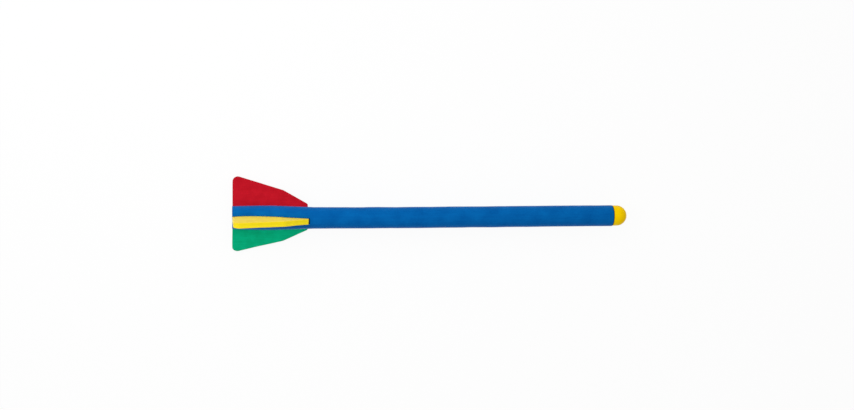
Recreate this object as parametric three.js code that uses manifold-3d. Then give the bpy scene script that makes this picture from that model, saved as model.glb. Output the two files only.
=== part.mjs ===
// A soft foam javelin for children's throwing practice.
// Millimetres. X runs along the axis from the tail face to the nose, and Z points up through the yellow fin.
import * as THREE from 'three';
import { mergeVertices } from 'three/addons/utils/BufferGeometryUtils.js';
import Module from 'manifold-3d';

// Whole object
const overallLength = 750;
const gluedGap = 0.3; // between any two glued faces

// Foam shaft
const shaftDiameter = 40;
const swellHeight = 2.75; // how far the fins push the foam outwards at the fullest place
const swellRunout = 9; // from the front of the slots to where the shaft is its own size again
const swellPeakShare = 0.4; // of the way from the tail to the end of the swelling
const seamEdgeRadius = 1; // soft edge on each side of the nose seam

// Core tube, which also sets the bore
const coreTubeDiameter = 12;
const coreTubeWall = 1.5;
const tailPlugLength = 25;

// Nose dome and the dowel that centres it
const domeInset = 0.5; // how much smaller the dome's radius is than the shaft's
const domeStraight = 8.5; // cylindrical stretch behind the hemisphere
const dowelInShaft = 30;
const dowelInDome = 12;

// Fins, heights measured from the surface of the straight shaft
const finCount = 3;
const finThickness = 10;
const finChord = 140;
const finTailHeight = 63.5;
const finKneeHeight = 33.3;
const finFrontHeight = 6;
const kneeToFront = 44.7;
const finTailCornerRadius = 10.5;
const finKneeRadius = 25;
const finFrontCornerRadius = 4;
const slotSideGap = 0.3; // each side of a fin
const slotFrontGap = 3; // open end of a slot ahead of its fin
const foamUnderSlot = 3.7; // foam left between a slot's floor and the bore

// Colours from the photograph
const shaftBlue = 0x085ca3;
const finYellow = 0xf2d32a;
const finGreen = 0x0aa070;
const finRed = 0xbb1828;
const noseYellow = 0xf0cb08;
const tubeWhite = 0xe8e6df;
const dowelGrey = 0xd5d6d3;
const foamRoughness = 0.85;
const plasticRoughness = 0.4;

// Fineness and cutting
const roundFacets = 60;
const smallFacets = 36;
const swellSteps = 14;
const cornerSteps = 6;
const domeSteps = 16;
const cutOverrun = 5; // how far a cutter reaches past what it cuts

const shaftRadius = shaftDiameter / 2;
const coreTubeRadius = coreTubeDiameter / 2;
const boreRadius = coreTubeRadius + gluedGap;
const domeRadius = shaftRadius - domeInset;
const domeBack = overallLength - domeRadius - domeStraight;
const shaftEnd = domeBack - gluedGap;
const slotFloorRadius = boreRadius + foamUnderSlot;
const slotWidth = finThickness + 2 * slotSideGap;
const slotLength = finChord + slotFrontGap;
const swellEnd = slotLength + swellRunout;

const wasm = await Module();
wasm.setup();

// A closed three.js geometry as a solid that can be cut.
function solidFrom(geometry) {
  const bare = new THREE.BufferGeometry();
  bare.setAttribute('position', geometry.getAttribute('position'));
  bare.setIndex(geometry.getIndex());
  const merged = mergeVertices(bare);
  return new wasm.Manifold(new wasm.Mesh({
    numProp: 3,
    vertProperties: merged.getAttribute('position').array,
    triVerts: new Uint32Array(merged.getIndex().array),
  }));
}

// A cut solid as a three.js geometry with flat-shaded faces.
function geometryFrom(solid) {
  const cut = solid.getMesh();
  const geometry = new THREE.BufferGeometry();
  geometry.setAttribute('position', new THREE.BufferAttribute(cut.vertProperties, 3));
  geometry.setIndex(new THREE.BufferAttribute(cut.triVerts, 1));
  const flat = geometry.toNonIndexed();
  flat.computeVertexNormals();
  return flat;
}

// A solid of revolution round the X axis. Each profile point is (radius, place along the axis).
function turned(profile, facets) {
  const points = profile.map(([radius, along]) => new THREE.Vector2(radius, along));
  return new THREE.LatheGeometry(points, facets).rotateZ(-Math.PI / 2);
}

// Points of an arc, from one angle to another, in the plane of a profile or an outline.
function arc(centreX, centreY, radius, fromAngle, toAngle, steps) {
  return Array.from({ length: steps + 1 }, (_, step) => {
    const angle = fromAngle + ((toAngle - fromAngle) * step) / steps;
    return [centreX + radius * Math.cos(angle), centreY + radius * Math.sin(angle)];
  });
}

// A closed outline through the corners, listed anticlockwise, each turned by an arc of its own radius.
function roundedOutline(corners) {
  const points = corners.flatMap(([x, y, radius], index) => {
    if (radius === 0) return [[x, y]];
    const corner = new THREE.Vector2(x, y);
    const [beforeX, beforeY] = corners.at(index - 1);
    const [afterX, afterY] = corners.at((index + 1) % corners.length);
    const toBefore = new THREE.Vector2(beforeX, beforeY).sub(corner).normalize();
    const toAfter = new THREE.Vector2(afterX, afterY).sub(corner).normalize();
    const halfAngle = Math.acos(toBefore.dot(toAfter)) / 2;
    const inward = toBefore.clone().add(toAfter).normalize();
    const centre = corner.clone().addScaledVector(inward, radius / Math.sin(halfAngle));
    const turn = Math.PI - 2 * halfAngle;
    const middle = Math.atan2(-inward.y, -inward.x);
    return arc(centre.x, centre.y, radius, middle - turn / 2, middle + turn / 2, cornerSteps);
  });
  return new THREE.Shape(points.map(([x, y]) => new THREE.Vector2(x, y)));
}

function named(name, geometry, color, roughness) {
  const material = new THREE.MeshStandardMaterial({ color, roughness, metalness: 0 });
  const mesh = new THREE.Mesh(geometry, material);
  mesh.name = name;
  return mesh;
}

// The shaft's outer radius near the tail, where the fins push the foam outwards.
function swollenRadius(along) {
  const peak = swellEnd * swellPeakShare;
  const phase = (along - peak) / (swellEnd - peak);
  return shaftRadius + swellHeight * Math.cos((Math.PI / 2) * phase);
}

// The place of one fin's slot as a box, to be cut from the shaft.
function slotCutter(turn) {
  const height = shaftRadius + swellHeight + cutOverrun - slotFloorRadius;
  const box = new THREE.BoxGeometry(slotLength + cutOverrun, slotWidth, height);
  box.translate((slotLength - cutOverrun) / 2, 0, slotFloorRadius + height / 2);
  return solidFrom(box.rotateX(turn));
}

// Extruded foam rod with a bore, slotted from the tail for the fins.
function foamShaft() {
  const swelling = Array.from({ length: swellSteps + 1 }, (_, step) => {
    const along = (swellEnd * step) / swellSteps;
    return [swollenRadius(along), along];
  });
  const frontEdge = arc(
    shaftRadius - seamEdgeRadius, shaftEnd - seamEdgeRadius, seamEdgeRadius, 0, Math.PI / 2, cornerSteps,
  );
  const profile = [[boreRadius, 0], ...swelling, ...frontEdge, [boreRadius, shaftEnd], [boreRadius, 0]];
  let rod = solidFrom(turned(profile, roundFacets));
  for (const turn of finTurns()) rod = rod.subtract(slotCutter(turn));
  return named('foam_shaft', geometryFrom(rod), shaftBlue, foamRoughness);
}

// Plastic tube that keeps the soft rod straight.
function coreTube() {
  const back = tailPlugLength + gluedGap;
  const front = shaftEnd - dowelInShaft - gluedGap;
  const inner = coreTubeRadius - coreTubeWall;
  const profile = [[inner, back], [coreTubeRadius, back], [coreTubeRadius, front], [inner, front], [inner, back]];
  return named('core_tube', turned(profile, smallFacets), tubeWhite, plasticRoughness);
}

// Foam plug that closes the bore flush with the tail face.
function tailPlug() {
  const profile = [[0, 0], [coreTubeRadius, 0], [coreTubeRadius, tailPlugLength], [0, tailPlugLength]];
  return named('tail_plug', turned(profile, smallFacets), shaftBlue, foamRoughness);
}

// Foam dowel, half in the shaft's bore and half in the dome's socket.
function noseDowel() {
  const back = shaftEnd - dowelInShaft;
  const front = domeBack + dowelInDome;
  const profile = [[0, back], [coreTubeRadius, back], [coreTubeRadius, front], [0, front]];
  return named('nose_dowel', turned(profile, smallFacets), dowelGrey, foamRoughness);
}

// Foam dome: a short cylinder and a hemisphere, with a blind socket in its back.
function noseDome() {
  const socketEnd = domeBack + dowelInDome + gluedGap;
  const backEdge = arc(
    domeRadius - seamEdgeRadius, domeBack + seamEdgeRadius, seamEdgeRadius, -Math.PI / 2, 0, cornerSteps,
  );
  const cap = arc(0, overallLength - domeRadius, domeRadius, 0, Math.PI / 2, domeSteps);
  cap.at(-1)[0] = 0; // the last point lies exactly on the axis
  const profile = [[0, socketEnd], [boreRadius, socketEnd], [boreRadius, domeBack], ...backEdge, ...cap];
  return named('nose_dome', turned(profile, roundFacets), noseYellow, foamRoughness);
}

// How far each fin is turned round the axis from straight up.
function finTurns() {
  return Array.from({ length: finCount }, (_, index) => (index * 2 * Math.PI) / finCount);
}

// One fin die-cut from foam sheet, standing up along Z with its root in the slot.
function fin(name, color, turn) {
  const root = slotFloorRadius + gluedGap;
  const outline = roundedOutline([
    [0, root, 0],
    [finChord, root, 0],
    [finChord, shaftRadius + finFrontHeight, finFrontCornerRadius],
    [finChord - kneeToFront, shaftRadius + finKneeHeight, finKneeRadius],
    [0, shaftRadius + finTailHeight, finTailCornerRadius],
  ]);
  const sheet = new THREE.ExtrudeGeometry(outline, { depth: finThickness, bevelEnabled: false });
  sheet.translate(0, 0, -finThickness / 2).rotateX(Math.PI / 2);
  const mesh = named(name, sheet, color, foamRoughness);
  mesh.rotation.x = turn;
  return mesh;
}

const javelin = new THREE.Group();
javelin.name = 'foam_javelin';
const finLooks = [['yellow_fin', finYellow], ['green_fin', finGreen], ['red_fin', finRed]];
finTurns().forEach((turn, index) => {
  const [name, color] = finLooks[index];
  javelin.add(fin(name, color, turn));
});
javelin.add(foamShaft(), coreTube(), tailPlug(), noseDowel(), noseDome());

export default javelin;
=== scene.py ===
import bmesh
import bpy
import numpy as np
from mathutils import Matrix, Vector


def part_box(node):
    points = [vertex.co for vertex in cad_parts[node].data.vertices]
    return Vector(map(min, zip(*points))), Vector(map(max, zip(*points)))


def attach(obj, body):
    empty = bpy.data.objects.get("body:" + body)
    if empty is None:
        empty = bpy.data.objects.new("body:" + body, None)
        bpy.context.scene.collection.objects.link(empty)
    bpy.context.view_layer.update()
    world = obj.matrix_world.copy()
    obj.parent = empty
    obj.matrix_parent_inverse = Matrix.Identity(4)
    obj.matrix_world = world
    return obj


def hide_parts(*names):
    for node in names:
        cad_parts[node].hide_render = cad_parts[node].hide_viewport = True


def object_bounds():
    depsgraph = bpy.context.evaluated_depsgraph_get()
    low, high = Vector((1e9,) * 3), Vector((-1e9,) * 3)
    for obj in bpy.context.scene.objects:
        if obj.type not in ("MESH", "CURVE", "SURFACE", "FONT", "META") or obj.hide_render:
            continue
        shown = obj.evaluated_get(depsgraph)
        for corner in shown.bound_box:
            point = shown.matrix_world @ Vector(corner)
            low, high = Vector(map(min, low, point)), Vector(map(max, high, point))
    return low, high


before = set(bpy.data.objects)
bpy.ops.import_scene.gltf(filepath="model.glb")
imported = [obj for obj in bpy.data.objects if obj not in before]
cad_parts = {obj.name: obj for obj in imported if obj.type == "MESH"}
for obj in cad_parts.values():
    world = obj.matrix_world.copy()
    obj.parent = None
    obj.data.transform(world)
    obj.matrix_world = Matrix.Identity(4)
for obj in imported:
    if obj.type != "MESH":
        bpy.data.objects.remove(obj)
cad_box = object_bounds()

# Foam shaft
# A rod of blue closed-cell foam, extruded round a bore, with a thin smooth skin left by the die.
# Three slots are sawn in from the tail, and the fins glued into them push the foam outwards a little.
mm = 0.001
whole_length = cad_box[1][0]
seam_glue = 0.8 * mm  # glue in the nose seam holds the rod's front end that far back
shaft_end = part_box("foam_shaft")[1][0] - seam_glue
shaft_radius = 20 * mm
bore_radius = 6.3 * mm
tail_edge = 0.4 * mm  # roundings of the rod's two ends
seam_edge = 1.0 * mm
slot_floor = 10 * mm  # from the axis
slot_half_width = 5.3 * mm
slot_end = 142 * mm
fin_reach = 140 * mm  # the fins reach this far, and the painted shade in the slots fades out beyond them
slot_lip = 0.7 * mm  # rounding of a slot's sawn edges
slot_end_edge = 0.9 * mm  # rounding of a slot's front end
swell_height = 2.75 * mm
swell_end = 152 * mm
swell_peak = 0.4 * swell_end
swell_softness = 0.3 * mm  # of the line where the swelling ends
third = 2 * np.pi / 3  # of a turn, from one slot to the next
bow_height = 1.55 * mm  # how far the middle of the javelin lies off its straight line
bow_rearward = 0.25  # how much fuller the bow is towards the tail
weld_distance = 0.0001 * mm
crease_angle = np.radians(38)  # an edge bent further than this stays sharp


def bowed(points):
    """The javelin isn't quite straight. Its middle lies off to the side away from the red fin by half a sine
    wave along the whole length, and a weaker full wave makes the bow fuller towards the tail."""
    phase = np.pi * points[:, :1] / whole_length
    shift = bow_height * (np.sin(phase) + bow_rearward * np.sin(2 * phase))
    return points - shift * np.array([0, 1, 0])


def cells_of(grids):
    """The four corners of every cell of every grid, as places in one list of all their points."""
    cells = []
    start = 0
    for grid in grids:
        index = start + np.arange(grid.shape[0] * grid.shape[1]).reshape(grid.shape[:2])
        start += index.size
        corners = (index[:-1, :-1], index[:-1, 1:], index[1:, 1:], index[1:, :-1])
        cells.append(np.stack(corners, -1).reshape(-1, 4))
    return np.concatenate(cells)


def for_every_point(shares, grids):
    """A value for every point of all the grids, where a grid's share is one number or an array of them."""
    values = [np.broadcast_to(share, grid.shape[:2]).ravel() for share, grid in zip(shares, grids)]
    return np.concatenate(values).astype(np.float32)


def welded(name, patches):
    """One closed mesh out of patches. Each is a grid of points, with how far each point is cut foam, from 0
    on the skin to 1 on a cut face, and how much painted shade darkens it, for the shadow in gaps. Every
    cell of a grid is a face, and points that meet become one."""
    grids, cuts, shade_shares = zip(*patches)
    points = bowed(np.concatenate([grid.reshape(-1, 3) for grid in grids]))
    mesh = bpy.data.meshes.new(name)
    mesh.from_pydata(points, [], cells_of(grids))
    for attribute, shares in (("cut", cuts), ("painted_shade", shade_shares)):
        values = mesh.attributes.new(attribute, "FLOAT", "POINT").data
        values.foreach_set("value", for_every_point(shares, grids))
    work = bmesh.new()
    work.from_mesh(mesh)
    bmesh.ops.remove_doubles(work, verts=work.verts, dist=weld_distance)
    bmesh.ops.recalc_face_normals(work, faces=work.faces)
    work.to_mesh(mesh)
    work.free()
    mesh.shade_smooth()
    mesh.set_sharp_from_angle(angle=crease_angle)
    piece = bpy.data.objects.new(name, mesh)
    bpy.context.scene.collection.objects.link(piece)
    return piece


def ripple(points, wavelength, height, seed, waves=24, spread=(0.7, 1.5)):
    """A gentle unevenness at each point: the sum of plane waves, in directions and phases drawn from the
    seed, and in lengths of the spread times the wavelength, scaled so that it mostly stays within the
    height."""
    draw = np.random.default_rng(seed)
    direction = draw.normal(size=(waves, 3))
    direction /= np.linalg.norm(direction, axis=1, keepdims=True)
    pitch = 2 * np.pi / (wavelength * draw.uniform(*spread, (waves, 1)))
    phase = draw.uniform(0, 2 * np.pi, waves)
    return height * np.cos(points @ (direction * pitch).T + phase).sum(-1) / np.sqrt(waves)


def smooth(share):
    """From 0 to 1 with a level start and end: three times the square less twice the cube."""
    held = np.clip(share, 0, 1)
    return held**2 * (3 - 2 * held)


def polar(along, radius, turn):
    """Points round the X axis, turned from straight up towards +Y."""
    along, radius, turn = np.broadcast_arrays(along, radius, turn)
    return np.stack([along, radius * np.sin(turn), radius * np.cos(turn)], -1)


def rows_between(first, last, count):
    """Rows of points in equal steps from the first row to the last."""
    return first + np.linspace(0, 1, count)[:, None, None] * (last - first)


def swollen_radius(along):
    """The rod's radius along its length: plain, but near the tail a cosine hump is added, whose front end
    runs out softly."""
    phase = np.clip((along - swell_peak) / (swell_end - swell_peak), -1, 1)
    hump = swell_height * np.cos(np.pi / 2 * phase)
    soft = 0.5 * (hump + np.sqrt(hump**2 + swell_softness**2) - swell_softness)
    return shaft_radius + np.where(along < swell_end, soft, 0)


skew = np.tan(np.radians(1.8))  # the top slot is cut a little askew
skew_middle = 78 * mm  # where it crosses the middle line
skew_whole, skew_none = np.radians(30), np.radians(80)  # it dies away between these turns from the top
skew_runout = 30 * mm  # and over this length ahead of the slot
sway = 0.9 * mm  # the slot isn't quite straight either
sway_middle = 67 * mm
sway_length = 160 * mm
sway_fade = 40 * mm  # the height over which the sway dies away
pull = 1.6 * mm  # the glue draws the slot back towards the middle line at the tail
pull_length = 10 * mm


def slot_shift(along, height=0.0):
    """How far the top slot lies to the side: a straight line across the middle line, plus a cosine wave less
    a pull that fades from the tail. Both die away over the fin's height, as its outer edge is straighter."""
    wave = sway * np.cos(2 * np.pi * (along - sway_middle) / sway_length)
    wave = wave - pull * np.exp(-along / pull_length)
    return skew * (skew_middle - along) + wave * (1 - smooth(height / sway_fade))


def askew(points, turn, surface_share):
    """Carries the top slot sideways. The shift is the whole one out to the slot's inner corners, and dies
    away over the skin and ahead of the slot. Points on the skin keep their distance from the axis, and a
    wall's points keep it by their share of the wall's height."""
    along, across, up = np.moveaxis(points, -1, 0)
    off_top = np.abs((turn + np.pi) % (2 * np.pi) - np.pi)
    near_top = smooth((skew_none - off_top) / (skew_none - skew_whole))
    near_slot = smooth((slot_end + skew_runout - along) / skew_runout)
    shifted = across + near_top * near_slot * slot_shift(along)
    on_skin = np.copysign(np.sqrt(np.maximum(across**2 + up**2 - shifted**2, 0)), up)
    return np.stack([along, shifted, up + surface_share * (on_skin - up)], -1)


floor_steps, wall_steps, lip_steps, skin_steps = 3, 9, 4, 36  # points on half a slot and on the skin
half_steps = floor_steps + wall_steps + lip_steps
per_third = 2 * half_steps + skin_steps - 1  # from the middle of one slot to just before the next


def half_slot(skin_radius):
    """Half of a slot's outline in polar form: out along half its floor, up the wall and a quarter circle
    round the lip, which ends on the skin."""
    top = np.sqrt(skin_radius**2 - (slot_half_width + slot_lip) ** 2) - slot_lip
    lip_turn = np.linspace(0, np.pi / 2, lip_steps + 1)[1:]
    across = np.concatenate([
        np.linspace(0, slot_half_width, floor_steps + 1)[:-1], np.full(wall_steps, slot_half_width),
        slot_half_width + slot_lip * (1 - np.cos(lip_turn)),
    ])
    up = np.concatenate([
        np.full((skin_radius.size, floor_steps), slot_floor),
        slot_floor + (top - slot_floor) * np.linspace(0, 1, wall_steps),
        top + slot_lip * np.sin(lip_turn),
    ], axis=1)
    return np.hypot(across, up), np.arctan2(across, up)


def outline(half, skin, turning=False):
    """Values all round the outline, out of those of half a slot, from its middle to its lip, and those of
    the skin up to the next slot. Each third is the half slot, the skin and the half slot mirrored, and the
    outline closes on its first point. A turn is mirrored as the rest of a third of a turn, and grows by
    that from one third to the next."""
    half, skin = np.atleast_2d(half), np.atleast_2d(skin)
    step = third if turning else 0
    back = third - half[:, ::-1] if turning else half[:, ::-1]
    one_third = np.concatenate([half, skin, back], axis=1)
    body = [one_third[:, :-1] + count * step for count in range(3)]
    return np.concatenate([*body, one_third[:, :1] + 3 * step], axis=1)


edge_steps = 6
slotted_rows, swollen_rows, plain_rows = 84, 10, 250
row_gap = 2 * mm  # between one stretch of rows and the next
closing_shares = (1, 0.07, 0.02)  # how far the outline is still slotted over the slots' front end


def shaft_rows():
    """The outlines' places along the axis, how far each is slotted, and its radius on the skin, all as
    columns. Both ends of the rod are rounded, and so is the slots' front end, over which they close."""
    edge_turn = np.linspace(0, np.pi / 2, edge_steps)
    rounding = np.array([0, 0.3, 1])  # three rows over a small edge
    along = np.concatenate([
        rounding * tail_edge,
        np.linspace(2 * tail_edge, slot_end, slotted_rows),
        slot_end + rounding * slot_end_edge,
        np.linspace(slot_end + row_gap, swell_end + 2 * row_gap, swollen_rows),
        np.linspace(swell_end + 3 * row_gap, shaft_end - seam_edge, plain_rows)[:-1],
        shaft_end - seam_edge * (1 - np.sin(edge_turn)),
    ])
    slotted = np.where(along <= slot_end, 1.0, 0.0)
    closing = np.flatnonzero(slotted)[-1]
    slotted[closing:closing + rounding.size] = closing_shares
    drawn_in = np.zeros(along.size)
    drawn_in[:rounding.size] = tail_edge * np.array([1, 0.3, 0])
    drawn_in[-edge_steps:] = seam_edge * (1 - np.cos(edge_turn))
    return along[:, None], slotted[:, None], (swollen_radius(along) - drawn_in)[:, None]


skin_waves = ((55 * mm, 0.14 * mm, 11), (14 * mm, 0.045 * mm, 12))  # wavelength, height and seed
dent_count, dent_seed = 16, 21
dent_places = (160 * mm, 720 * mm)
dent_sizes = (2.5 * mm, 7 * mm)
dent_depths = (0.1 * mm, 0.28 * mm)
dent_shape = np.array([0.5, 1, 1])  # a dent is longer along the rod


def unevenness(skin):
    """How far the foam stands out at each point of the skin: slow and quick waves, less shallow dents, each
    a bell curve of the distance from its middle."""
    push = sum(ripple(skin, *wave) for wave in skin_waves)
    draw = np.random.default_rng(dent_seed)
    for _ in range(dent_count):
        dent = polar(draw.uniform(*dent_places), shaft_radius, draw.uniform(0, 2 * np.pi))
        size, depth = draw.uniform(*dent_sizes), draw.uniform(*dent_depths)
        reach = np.sum((skin - dent) ** 2 * dent_shape, -1)
        push = push - depth * np.exp(-reach / (2 * size**2))
    return push


def tail_sectors(hub_rim, rim):
    """The tail face between every two slots: rows from the hub's rim out to the rod's. Their ends are carried
    onto the slots' walls, and the points between them go along by their share of the way."""
    wall = floor_steps + np.arange(wall_steps)
    sectors = []
    for start in range(0, 3 * per_third, per_third):
        sector = slice(start + wall[-1], start + per_third - wall[-1] + 1)
        face = rows_between(hub_rim[:, sector], rim[:, sector], wall_steps)
        to_near_wall = rim[0, start + wall, None] - face[:, :1]
        to_far_wall = rim[0, start + per_third - wall, None] - face[:, -1:]
        share = np.linspace(0, 1, face.shape[1])[:, None]
        sectors.append(face + (1 - share) * to_near_wall + share * to_far_wall)
    return sectors


hub_rows, front_rows = 5, 8
bore_row_step = 12  # the plain bore needs fewer rows than the skin
wall_stiffness = 8  # how quickly the skin's unevenness dies away down a slot's wall
lip_painted_shade = (1, 0.7, 0.25, 0)  # of painted shade, round a slot's lip, darkest next to the fin
open_end_painted_shade = 0.1  # painted shade left over the slots' open ends


def shaft_piece():
    """The outline carried along the axis. In the slots it is the slotted one, and ahead of them the same
    points spread over the full circle. The tail face is a hub round the bore and three sectors."""
    along, slotted, skin_radius = shaft_rows()
    half_radius, half_turn = half_slot(skin_radius)
    lip_end = half_turn[:, -1:]
    skin_share = np.linspace(0, 1, skin_steps + 2)[1:-1]
    skin_turn = lip_end + (third - 2 * lip_end) * skin_share
    radius = outline(half_radius, np.broadcast_to(skin_radius, skin_turn.shape))
    turn = outline(half_turn, skin_turn, turning=True)
    even_turn = outline(lip_end * np.linspace(0, 1, half_steps), skin_turn, turning=True)
    circle = polar(along, skin_radius, even_turn)
    outer = circle + slotted[..., None] * (polar(along, radius, turn) - circle)

    half_height = np.concatenate([np.zeros(floor_steps), np.linspace(0, 1, wall_steps), np.ones(lip_steps)])
    height = outline(half_height, np.ones(skin_steps))
    outer = askew(outer, np.arctan2(outer[..., 1], outer[..., 2]), 1 - slotted * (1 - height))
    buried = slotted * (1 - height**wall_stiffness)
    away = outer * np.array([0, 1, 1])
    away /= np.linalg.norm(away, axis=-1, keepdims=True)
    outer = outer + (unevenness(outer) * (1 - buried))[..., None] * away

    # Painted shade: the slots' walls and the inner part of their lips are painted dark, for the shadow in the
    # narrow gap beside each fin, and it fades out ahead of the fins.
    half_painted_shade = np.concatenate([np.ones(floor_steps + wall_steps), lip_painted_shade])
    slot_painted_shade = outline(half_painted_shade, np.zeros(skin_steps)) * slotted
    slot_painted_shade = slot_painted_shade * np.interp(along, [fin_reach, slot_end], [1, open_end_painted_shade])
    # Painted shade in the nose seam: the inner half of the rod's rounded front edge is painted dark, and so
    # is its whole front face, for the shadow in the groove.
    seam_painted_shade = np.interp(along, [shaft_end - 0.5 * seam_edge, shaft_end], [0, 1])

    corner_radius = np.hypot(slot_half_width, slot_floor)
    corner_turn = np.arctan2(slot_half_width, slot_floor)
    hub_half = np.append(half_turn[0, :floor_steps], np.full(wall_steps + lip_steps, corner_turn))
    hub_turn = outline(hub_half, corner_turn + (third - 2 * corner_turn) * skin_share, turning=True)
    hub_rim = askew(polar(0, np.minimum(radius[:1], corner_radius), hub_turn), hub_turn, 0)
    bore = polar(along, bore_radius, even_turn)
    bore_rows = np.append(np.arange(0, along.size - 1, bore_row_step), along.size - 1)
    return welded("shaft", [
        (outer, buried, np.maximum(slot_painted_shade, seam_painted_shade)),
        (rows_between(bore[:1], hub_rim, hub_rows), 1.0, 0.0),
        (rows_between(outer[-1:], bore[-1:], front_rows), 1.0, 1.0),
        (bore[bore_rows], 1.0, 0.0),
        *[(sector, 1.0, 0.0) for sector in tail_sectors(hub_rim, outer[:1])],
    ])


def add(tree, kind, inputs=None, **settings):
    """A shader node with its settings and inputs, where an input is a value or another node's output."""
    node = tree.nodes.new(kind)
    for name, value in settings.items():
        setattr(node, name, value)
    for name, value in (inputs or {}).items():
        if isinstance(value, bpy.types.NodeSocket):
            tree.links.new(value, node.inputs[name])
        else:
            node.inputs[name].default_value = value
    return node


def maths(tree, operation, first, second=0.0):
    """What one sum gives for two values."""
    return add(tree, "ShaderNodeMath", {0: first, 1: second}, operation=operation).outputs[0]


cushion_depth, skin_grain = 0.055, 0.035  # of a cell, on the skin
pit_depth, cut_grain = 0.16, 0.05  # of a cell, on a cut face
patch_contrast, streak_contrast, speckle_contrast = 1.6, 0.7, 0.5
usual_distance = 0.4  # from the middle of a cushion
# Painted shade: how much darker the pits of a cut face are painted.
pit_painted_shade = 0.55
skin_roughness, grain_roughness, cut_roughness = 0.55, 0.2, 0.9


def foam_grain_group():
    """Closed-cell foam. On the skin the cells are low cushions drawn out along the sheet or rod, with fine
    grain. On a cut face each is an open pit between raised walls, and the pits are painted darker: painted
    shade for the shadow in the open cells. The tone of the skin changes slowly in patches and streaks, and
    is a little darker towards each cell's rim, where the cushion dips."""
    tree = bpy.data.node_groups.new("foam_grain", "ShaderNodeTree")
    tree.interface.new_socket("Vector", in_out="INPUT", socket_type="NodeSocketVector")
    for name in ("Cut", "Cell"):
        tree.interface.new_socket(name, in_out="INPUT", socket_type="NodeSocketFloat")
    for name in ("Height", "Tone", "Roughness"):
        tree.interface.new_socket(name, in_out="OUTPUT", socket_type="NodeSocketFloat")
    given = add(tree, "NodeGroupInput")
    cut, cell = given.outputs["Cut"], given.outputs["Cell"]
    scaled = add(tree, "ShaderNodeVectorMath", {
        0: given.outputs["Vector"], "Scale": maths(tree, "DIVIDE", 1.0, cell),
    }, operation="SCALE").outputs[0]
    drawn_out = add(tree, "ShaderNodeMapping", {"Vector": scaled, "Scale": (0.62, 1, 1)})
    cushion = add(tree, "ShaderNodeTexVoronoi", {
        "Vector": drawn_out.outputs[0], "Scale": 1.0, "Smoothness": 0.6,
    }, feature="SMOOTH_F1").outputs["Distance"]
    walls = add(tree, "ShaderNodeTexVoronoi", {"Vector": scaled, "Scale": 0.9}, feature="DISTANCE_TO_EDGE")
    pit = add(tree, "ShaderNodeMapRange", {
        "Value": walls.outputs["Distance"], "From Min": 0.03, "From Max": 0.32, "To Min": 0.0, "To Max": 1.0,
    }, interpolation_type="SMOOTHSTEP").outputs["Result"]
    grain = add(tree, "ShaderNodeTexNoise", {"Vector": scaled, "Scale": 2.2, "Detail": 3.0}).outputs["Fac"]
    patches = add(tree, "ShaderNodeTexNoise", {
        "Vector": scaled, "Scale": 0.045, "Detail": 4.0,
    }).outputs["Fac"]
    streaks_at = add(tree, "ShaderNodeMapping", {"Vector": scaled, "Scale": (0.02, 0.5, 0.5)})
    streaks = add(tree, "ShaderNodeTexNoise", {
        "Vector": streaks_at.outputs[0], "Scale": 1.0, "Detail": 2.0,
    }).outputs["Fac"]

    def times(value, factor):
        return maths(tree, "MULTIPLY", value, factor)

    def plus(first, second):
        return maths(tree, "ADD", first, second)

    def off(value, usual):
        return maths(tree, "SUBTRACT", value, usual)

    def by_cut(on_skin, on_cut):
        return add(tree, "ShaderNodeMix", {0: cut, 2: on_skin, 3: on_cut}).outputs[0]

    height = by_cut(
        plus(times(cushion, -cushion_depth), times(grain, skin_grain)),
        plus(times(pit, -pit_depth), times(grain, cut_grain)),
    )
    mottle = plus(times(off(patches, 0.5), patch_contrast), times(off(streaks, 0.5), streak_contrast))
    # Darker towards each cell's rim, where the cushion dips.
    speckle = times(off(cushion, usual_distance), -speckle_contrast)
    # On a cut face the pits are painted darker: painted shade for the shadow in the open cells.
    tone = by_cut(plus(plus(mottle, speckle), 0.5), off(1.0, times(pit, pit_painted_shade)))
    roughness = by_cut(plus(times(grain, grain_roughness), skin_roughness), cut_roughness)
    put_out = add(tree, "NodeGroupOutput")
    for name, value in (("Height", times(height, cell)), ("Tone", tone), ("Roughness", roughness)):
        tree.links.new(value, put_out.inputs[name])
    return tree


def linear(red, green, blue):
    """A colour as a shader takes it, from the red, green and blue that a screen shows, out of 255."""
    screen = np.array([red, green, blue]) / 255
    light = np.where(screen <= 0.04045, screen / 12.92, ((screen + 0.055) / 1.055) ** 2.4)
    return (*light.tolist(), 1.0)


foam_grain = foam_grain_group()
# Painted shade in the slots and the nose seam, as a share of a foam's dark tone.
painted_shade_level = 0.25  # of a foam's dark tone
low_angle_power = 3.0
low_angle_roughness = 0.4
face_on_gloss = 0.01
bloom_tint = linear(240, 225, 150)
bloom_roughness = 0.4


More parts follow.
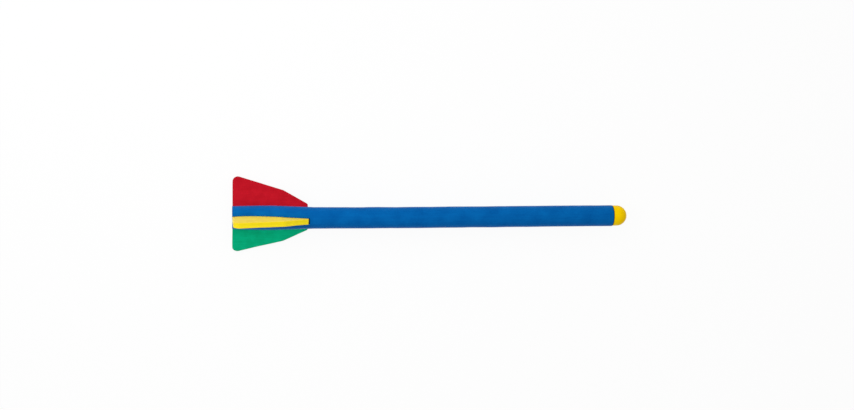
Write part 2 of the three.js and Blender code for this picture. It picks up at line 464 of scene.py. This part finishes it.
def foam(name, dark, light, cell, turn=0.0, bloom=0.0):
    """A foam finish. Its colour runs between a dark and a light tone, with grain of the given cell size, and
    painted shade carried by a mesh attribute turns it nearly black, for the shadow in the slots and the nose
    seam. Face on it is matt. At a low angle the smooth skin mirrors what lies beyond it: the coat weighs the
    third power of how far the surface turns away from view. Bloom is the weight of a pale dusty sheen."""
    material = bpy.data.materials.new(name)
    material.use_nodes = True
    tree = material.node_tree
    shader = tree.nodes["Principled BSDF"]
    place = add(tree, "ShaderNodeTexCoord")
    turned = add(tree, "ShaderNodeMapping", {"Vector": place.outputs["Object"], "Rotation": (turn, 0, 0)})
    cut = add(tree, "ShaderNodeAttribute", attribute_name="cut")
    grain = add(tree, "ShaderNodeGroup", {
        "Vector": turned.outputs[0], "Cut": cut.outputs["Fac"], "Cell": cell,
    }, node_tree=foam_grain)
    tone = add(tree, "ShaderNodeMix", {
        "Factor": grain.outputs["Tone"], 6: linear(*dark), 7: linear(*light),
    }, data_type="RGBA")
    # Painted shade: the mesh attribute darkens the colour towards a quarter of the dark tone where the slots
    # and the nose seam would be in shadow.
    painted_shade = add(tree, "ShaderNodeAttribute", attribute_name="painted_shade")
    painted_shade_colour = linear(*(painted_shade_level * part for part in dark))
    colour = add(tree, "ShaderNodeMix", {
        "Factor": painted_shade.outputs["Fac"], 6: tone.outputs[2], 7: painted_shade_colour,
    }, data_type="RGBA")
    bump = add(tree, "ShaderNodeBump", {"Height": grain.outputs["Height"], "Distance": 1.0, "Strength": 1.0})
    turned_away = add(tree, "ShaderNodeLayerWeight", {"Blend": 0.5})
    low_gloss = maths(tree, "POWER", turned_away.outputs["Facing"], low_angle_power)
    tree.links.new(colour.outputs[2], shader.inputs["Base Color"])
    tree.links.new(grain.outputs["Roughness"], shader.inputs["Roughness"])
    tree.links.new(bump.outputs["Normal"], shader.inputs["Normal"])
    tree.links.new(low_gloss, shader.inputs["Coat Weight"])
    shader.inputs["Coat Roughness"].default_value = low_angle_roughness
    shader.inputs["Specular IOR Level"].default_value = face_on_gloss
    shader.inputs["Sheen Weight"].default_value = bloom
    shader.inputs["Sheen Roughness"].default_value = bloom_roughness
    shader.inputs["Sheen Tint"].default_value = bloom_tint
    return material


shaft = shaft_piece()
blue_foam = foam("blue foam", (2, 86, 158), (6, 104, 178), 1.1 * mm)
shaft.data.materials.append(blue_foam)
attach(shaft, "root")
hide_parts("foam_shaft")

# Tail plug, nose dowel and core tube
# A light plastic tube stiffens the rod. A foam plug closes the bore behind it, flush with the tail, and a
# foam dowel ahead of it joins the shaft to the nose. All three are pushed in with glue.
tube_wall = 1.5 * mm
tube_rows = 60
plug_edge = 0.4 * mm
plug_rim_steps, plug_face_steps = 5, 6


def turned_piece(name, profile, cut, painted_shade_share=0.0, facets=96):
    """A solid of revolution: a profile of (place along the axis, radius) points, closed on the axis or on
    itself, carried round the X axis."""
    turn = np.linspace(0, 2 * np.pi, facets + 1)
    along, radius = profile.T[:, :, None]
    return welded(name, [(polar(along, radius, turn), cut, painted_shade_share)])


def arc(along, radius, rounding, start, end, steps):
    """Profile points round a centre, at angles that run from the axis's direction towards outwards."""
    angle = np.linspace(start, end, steps)
    return np.stack([along + rounding * np.cos(angle), radius + rounding * np.sin(angle)], 1)


def plug_profile(low, high):
    """A cylinder from low to high along the axis: its back face, two rounded rims and its front face."""
    back, front = low[0], high[0]
    rim = high[2] - plug_edge
    return np.concatenate([
        np.linspace((back, 0), (back, rim), plug_face_steps)[:-1],
        arc(back + plug_edge, rim, plug_edge, np.pi, np.pi / 2, plug_rim_steps),
        arc(front - plug_edge, rim, plug_edge, np.pi / 2, 0, plug_rim_steps),
        np.linspace((front, rim), (front, 0), plug_face_steps)[1:],
    ])


def tube_profile(low, high):
    """The tube's wall: along its outside to the front, and back along its inside."""
    back, front, outside = low[0], high[0], high[2]
    inside = outside - tube_wall
    return np.concatenate([
        np.linspace((back, outside), (front, outside), tube_rows),
        np.linspace((front, inside), (back, inside), tube_rows),
        [(back, outside)],
    ])


tail_plug = turned_piece("tail_plug_foam", plug_profile(*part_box("tail_plug")), 1.0)
tail_plug.data.materials.append(blue_foam)
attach(tail_plug, "root")
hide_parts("tail_plug")

nose_dowel = turned_piece("nose_dowel_foam", plug_profile(*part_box("nose_dowel")), 1.0)
nose_dowel.data.materials.append(foam("grey foam", (190, 191, 188), (226, 227, 224), 0.9 * mm))
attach(nose_dowel, "root")
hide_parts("nose_dowel")


def tube_plastic():
    """White plastic with faint streaks along the tube from the drawing die."""
    material = bpy.data.materials.new("tube plastic")
    material.use_nodes = True
    tree = material.node_tree
    shader = tree.nodes["Principled BSDF"]
    place = add(tree, "ShaderNodeTexCoord")
    streaks_at = add(tree, "ShaderNodeMapping", {"Vector": place.outputs["Object"], "Scale": (6, 700, 700)})
    streaks = add(tree, "ShaderNodeTexNoise", {"Vector": streaks_at.outputs[0], "Scale": 1.0})
    tone = add(tree, "ShaderNodeMix", {
        "Factor": streaks.outputs["Fac"], 6: linear(222, 220, 212), 7: linear(240, 238, 232),
    }, data_type="RGBA")
    tree.links.new(tone.outputs[2], shader.inputs["Base Color"])
    shader.inputs["Roughness"].default_value = 0.35
    return material


core_tube = turned_piece("core_tube_plastic", tube_profile(*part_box("core_tube")), 0.0)
core_tube.data.materials.append(tube_plastic())
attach(core_tube, "root")
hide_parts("core_tube")

# Fins
# Three alike fins die-cut from foam sheet, in yellow, green and red. The steel rule draws the skins in along
# the edge and leaves the cut edge a little hollow. Each is glued into its slot, flush with the tail.
fin_low, fin_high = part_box("yellow_fin")
fin_half_thickness = fin_high[1]
fin_root, fin_chord = fin_low[2], fin_high[0]
fin_front_radius = 26 * mm
fin_knee_radius = 53.3 * mm
fin_tail_radius = 83.5 * mm
knee_to_front = 44.7 * mm
root_rounding, front_rounding = 0.4 * mm, 4 * mm
knee_rounding, tail_rounding = 25 * mm, 10 * mm
least_rounding = 0.05 * mm
fin_spacing = 1.3 * mm  # between two points along the sides
corner_steps = 16
fin_middle = np.array([0.42 * fin_chord, 0.5 * (fin_root + fin_knee_radius)])
skin_draw = 1.1 * mm  # how far in from the edge the rule draws the skin down
arris_draw, arris_width = 0.6 * mm, 0.4 * skin_draw  # sharply at the edge
shoulder_draw, shoulder_width = 0.15 * mm, 2 * skin_draw  # and gently further in
cut_width = 0.35 * skin_draw  # how far in from the edge the skin is broken
edge_hollow = 0.25 * mm
rim_shares = np.array([6, 4, 3, 2.2, 1.6, 1.1, 0.7, 0.4, 0.2, 0.07, 0])  # places of the rings over the rim
hollow_rows, skin_rows = 9, 25


def rounded_outline(corners, inset):
    """A closed outline through corners of (x, y, rounding), all drawn in by the inset, with an arc at each
    corner whose radius is the rounding less the inset. Every inset gives the same number of points."""
    corner, rounding = np.array(corners)[:, :2], np.array(corners)[:, 2]
    to_before = np.roll(corner, 1, 0) - corner
    to_after = np.roll(corner, -1, 0) - corner
    side = np.linalg.norm(to_after, axis=1)
    to_before /= np.linalg.norm(to_before, axis=1, keepdims=True)
    to_after /= side[:, None]
    half = np.arccos(np.sum(to_before * to_after, 1)) / 2
    inward = (to_before + to_after) / (2 * np.cos(half))[:, None]
    radius = np.maximum(rounding - inset, least_rounding)
    centre = corner + inward * ((inset + radius) / np.sin(half))[:, None]
    sweep = (np.pi / 2 - half)[:, None] * np.linspace(-1, 1, corner_steps)
    angle = np.arctan2(-inward[:, 1], -inward[:, 0])[:, None] + sweep
    arcs = centre[:, None] + radius[:, None, None] * np.stack([np.cos(angle), np.sin(angle)], -1)
    parts = []
    for corner_arc, following, length in zip(arcs, np.roll(arcs, -1, 0), side):
        share = np.linspace(0, 1, round(length / fin_spacing) + 2)[1:-1, None]
        parts += [corner_arc, corner_arc[-1] + share * (following[0] - corner_arc[-1])]
    return np.concatenate([*parts, arcs[0][:1]])


def rim_rings():
    """How far each ring over the rim is drawn in, how high it lies from the middle of the sheet and how far
    it is cut foam. The skin drops by two exponentials of the distance from the edge, and the cut edge
    between the two skins is hollow by a parabola."""
    inset = rim_shares * skin_draw
    drop = arris_draw * np.exp(-inset / arris_width) + shoulder_draw * np.exp(-inset / shoulder_width)
    height = fin_half_thickness - drop
    across_edge = np.linspace(1, -1, hollow_rows + 2)[1:-1]
    hollow = edge_hollow * (1 - across_edge**2)
    broken = np.clip(1 - inset / cut_width, 0, 1)
    return (
        np.concatenate([inset, hollow, inset[::-1]]),
        np.concatenate([height, height[-1] * across_edge, -height[::-1]]),
        np.concatenate([broken, np.ones(hollow_rows), broken[::-1]]),
    )


bend_length, bend_fade = 120 * mm, 40 * mm  # the bend grows over the first 40 mm of height
bump_length, bump_height = 30 * mm, 0.08 * mm
bump_fade = 5 * mm  # from the root, where bumps would close the glue gap
lean_start = 10 * mm


def fin_piece(name, turn, seed, rear, bend_height, lean=0.0, in_top_slot=False):
    """A sheet as rings of its outline, from the middle of one skin out over the rim to the middle of the
    other. Rear is how far ahead of the tail face the root and the outer end of the rear edge lie. The free
    part has a gentle bend and may lean, and a fin in the top slot, which is askew, lies as its slot does."""
    corners = [
        (rear[0], fin_root, root_rounding),
        (fin_chord, fin_root, root_rounding),
        (fin_chord, fin_front_radius, front_rounding),
        (fin_chord - knee_to_front, fin_knee_radius, knee_rounding),
        (rear[1], fin_tail_radius, tail_rounding),
    ]
    inset, height, cut = rim_rings()
    rim = np.stack([rounded_outline(corners, ring_inset) for ring_inset in inset])
    inwards = np.linspace(1, 0, skin_rows + 1)[:-1, None, None]
    skin = rim[:1] + inwards * (fin_middle - rim[:1])
    along, up = np.moveaxis(np.concatenate([skin, rim, skin[::-1]]), -1, 0)
    height = np.broadcast_to(np.pad(height, skin_rows, mode="edge")[:, None], up.shape)
    cut = np.pad(cut, skin_rows)[:, None]

    sheet = np.stack([along, height, up], -1)
    free = np.clip(up - shaft_radius, 0, None)
    bend = ripple(sheet * np.array([1, 0, 1]), bend_length, bend_height, seed)
    bend = bend * np.clip(free / bend_fade, 0, 1)
    bumps = ripple(sheet, bump_length, bump_height, seed + 1) * height / fin_half_thickness
    bumps = bumps * np.clip((up - fin_root) / bump_fade, 0, 1)
    leaning = np.tan(lean) * free**2 / (free + lean_start)
    across = height + leaning + bend + bumps + (slot_shift(along, free) if in_top_slot else 0)
    sine, cosine = np.sin(turn), np.cos(turn)
    points = np.stack([along, across * cosine + up * sine, up * cosine - across * sine], -1)
    return welded(name, [(points, cut, 0.0)])


fin_cell = 0.8 * mm
fins = {
    "yellow_fin": {
        "dark": (241, 203, 14), "light": (255, 231, 32), "bloom": 0.7, "turn": 0, "seed": 40,
        "rear": (0, 0.7 * mm), "bend": 0.15 * mm, "lean": np.radians(-2.2),
    },
    "red_fin": {
        "dark": (172, 16, 30), "light": (194, 24, 40), "bloom": 0.0, "turn": third, "seed": 45,
        "rear": (0.7 * mm, 1.3 * mm), "bend": 0.6 * mm, "lean": 0.0,
    },
    "green_fin": {
        "dark": (2, 172, 119), "light": (6, 200, 146), "bloom": 0.0, "turn": 2 * third, "seed": 50,
        "rear": (0.7 * mm, 0.3 * mm), "bend": 0.6 * mm, "lean": 0.0,
    },
}
for node, its in fins.items():
    on_top = its["turn"] == 0
    fin = fin_piece(node + "_sheet", its["turn"], its["seed"], its["rear"], its["bend"], its["lean"], on_top)
    sheet_name = node.replace("_fin", " sheet foam")
    finish = foam(sheet_name, its["dark"], its["light"], fin_cell, its["turn"], its["bloom"])
    fin.data.materials.append(finish)
    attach(fin, "root")
    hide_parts(node)

# Nose dome
# A dome turned from yellow foam, a touch slimmer than the shaft, glued on over the dowel. Its back rim is
# rounded, so that a fine groove is left where it meets the shaft, and the groove's walls are painted dark:
# painted shade for the shadow in it.
dome_low, dome_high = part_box("nose_dome")
dome_slimness = 0.2 * mm
dome_radius = dome_high[2] - dome_slimness
dome_push = 0.1 * mm  # how much further back than the model's its back face lies
dome_shortness = 0.5 * mm  # and its tip
dome_back, dome_tip = dome_low[0] - dome_push, dome_high[0] - dome_shortness
dome_edge = 0.7 * mm
glue_gap = 0.3 * mm  # ahead of the dowel, in the dome's socket
socket_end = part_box("nose_dowel")[1][0] + glue_gap
socket_steps, back_steps, dome_edge_steps, cap_steps = 5, 9, 8, 60


def dome_profile():
    """The socket, the flat back, the rounded back rim, a short straight and a quarter circle to the tip."""
    rim = dome_radius - dome_edge
    return np.concatenate([
        np.linspace((socket_end, 0), (socket_end, bore_radius), socket_steps),
        np.linspace((dome_back, bore_radius), (dome_back, rim), back_steps),
        arc(dome_back + dome_edge, rim, dome_edge, np.pi, np.pi / 2, dome_edge_steps)[1:],
        arc(dome_tip - dome_radius, 0, dome_radius, np.pi / 2, 0, cap_steps),
    ])


nose_profile = dome_profile()
# Painted shade in the seam: the dome's back face and the inner half of its back rim are painted dark.
nose_painted_shade = np.interp(nose_profile[:, :1], [dome_back, dome_back + 0.5 * dome_edge], [1, 0])
nose = turned_piece("nose_foam", nose_profile, 0.0, nose_painted_shade, facets=160)
nose.data.materials.append(foam("yellow nose foam", (255, 202, 0), (255, 216, 2), 0.9 * mm))
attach(nose, "root")
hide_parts("nose_dome")

# Floor
# A plain white floor under the two lower fins. It is level with the frame, so that it hides nothing from a
# low view, and the nose, which would sink onto a real floor, stays clear of it.
floor_gap = 0.3 * mm
floor_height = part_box("red_fin")[0][2] - floor_gap
floor_reach = 12
floor_white = (0.92, 0.92, 0.92, 1)
shadow_share = 0.07  # of the lit floor in what the camera sees, the rest being plain white


def floor_paint():
    """Matt white paint that the camera and reflections see as nearly even white, with a faint shadow."""
    material = bpy.data.materials.new("floor paint")
    material.use_nodes = True
    tree = material.node_tree
    shader = tree.nodes["Principled BSDF"]
    shader.inputs["Base Color"].default_value = floor_white
    shader.inputs["Roughness"].default_value = 0.9
    shader.inputs["Specular IOR Level"].default_value = 0.1
    rays = add(tree, "ShaderNodeLightPath").outputs
    seen = maths(tree, "MAXIMUM", rays["Is Camera Ray"], rays["Is Glossy Ray"])
    white = add(tree, "ShaderNodeEmission", {"Color": (1, 1, 1, 1), "Strength": 1.0})
    share = maths(tree, "MULTIPLY", seen, 1 - shadow_share)
    mixed = add(tree, "ShaderNodeMixShader", {0: share, 1: shader.outputs[0], 2: white.outputs[0]})
    tree.links.new(mixed.outputs[0], tree.nodes["Material Output"].inputs["Surface"])
    return material


floor_mesh = bpy.data.meshes.new("floor")
floor_corners = floor_reach * np.array([(-1, -1, 0), (1, -1, 0), (1, 1, 0), (-1, 1, 0)])
floor_mesh.from_pydata(floor_corners + np.array([0, 0, floor_height]), [], [(0, 1, 2, 3)])
floor_mesh.materials.append(floor_paint())
floor = bpy.data.objects.new("floor", floor_mesh)
bpy.context.scene.collection.objects.link(floor)

# Light
# A wide soft lamp from the red fin's side, as in the photograph, a weaker one opposite, and a pale room.
scene = bpy.context.scene
scene.view_settings.view_transform = "Standard"
room_light = 0.5  # on the object, while the camera and reflections see plain white
room = bpy.data.worlds.new("room")
scene.world = room
room.use_nodes = True
room_tree = room.node_tree
rays = add(room_tree, "ShaderNodeLightPath").outputs
room_seen = maths(room_tree, "MAXIMUM", rays["Is Camera Ray"], rays["Is Glossy Ray"])
room_strength = maths(room_tree, "ADD", maths(room_tree, "MULTIPLY", room_seen, 1 - room_light), room_light)
room_background = room_tree.nodes["Background"]
room_background.inputs["Color"].default_value = (1, 1, 1, 1)
room_tree.links.new(room_strength, room_background.inputs["Strength"])
middle = Vector((0.5 * (cad_box[0][0] + cad_box[1][0]), 0, 0))


def soft_lamp(name, place, size, power):
    """A square lamp aimed at the middle of the javelin."""
    lamp = bpy.data.lights.new(name, "AREA")
    lamp.size = size
    lamp.energy = power
    lamp_object = bpy.data.objects.new(name, lamp)
    lamp_object.location = middle + Vector(place)
    lamp_object.rotation_euler = Vector(place).to_track_quat("Z", "Y").to_euler()
    scene.collection.objects.link(lamp_object)


soft_lamp("key_lamp", place=(-0.55, 0.68, 1.15), size=1.6, power=15.3)
soft_lamp("fill_lamp", place=(-0.5, -1.0, 0.7), size=1.4, power=0.9)

# Camera
# It looks down on the javelin from 2.8 m, rolled towards the red fin and a little from behind the fins, at
# the angles that fit the outlines in the photograph.
pixel = 1.8833 * mm  # of the photograph, at the javelin's middle
view_yaw = np.radians(8.1)
view_roll = np.radians(10.66)
picture_turn = np.radians(0.26)
view_pixels = 1500.0  # the distance, in those pixels
picture_width = 854
middle_in_picture = (5.93, 11.5)  # right of and below the picture's centre, in pixels
javelin_turn = Matrix.Rotation(view_yaw, 3, "Y") @ Matrix.Rotation(view_roll, 3, "X")
turned_view = Matrix.Rotation(picture_turn, 3, "Z") @ javelin_turn
rightwards, upwards, backwards = turned_view
across, down = middle_in_picture
camera_data = bpy.data.cameras.new("camera")
camera_data.sensor_width = 36
camera_data.lens = camera_data.sensor_width * view_pixels / picture_width
camera_data.clip_start = 0.05
camera = bpy.data.objects.new("camera", camera_data)
camera_place = middle + pixel * (view_pixels * backwards - across * rightwards + down * upwards)
camera.matrix_world = Matrix.Translation(camera_place) @ turned_view.transposed().to_4x4()
scene.collection.objects.link(camera)
scene.camera = camera
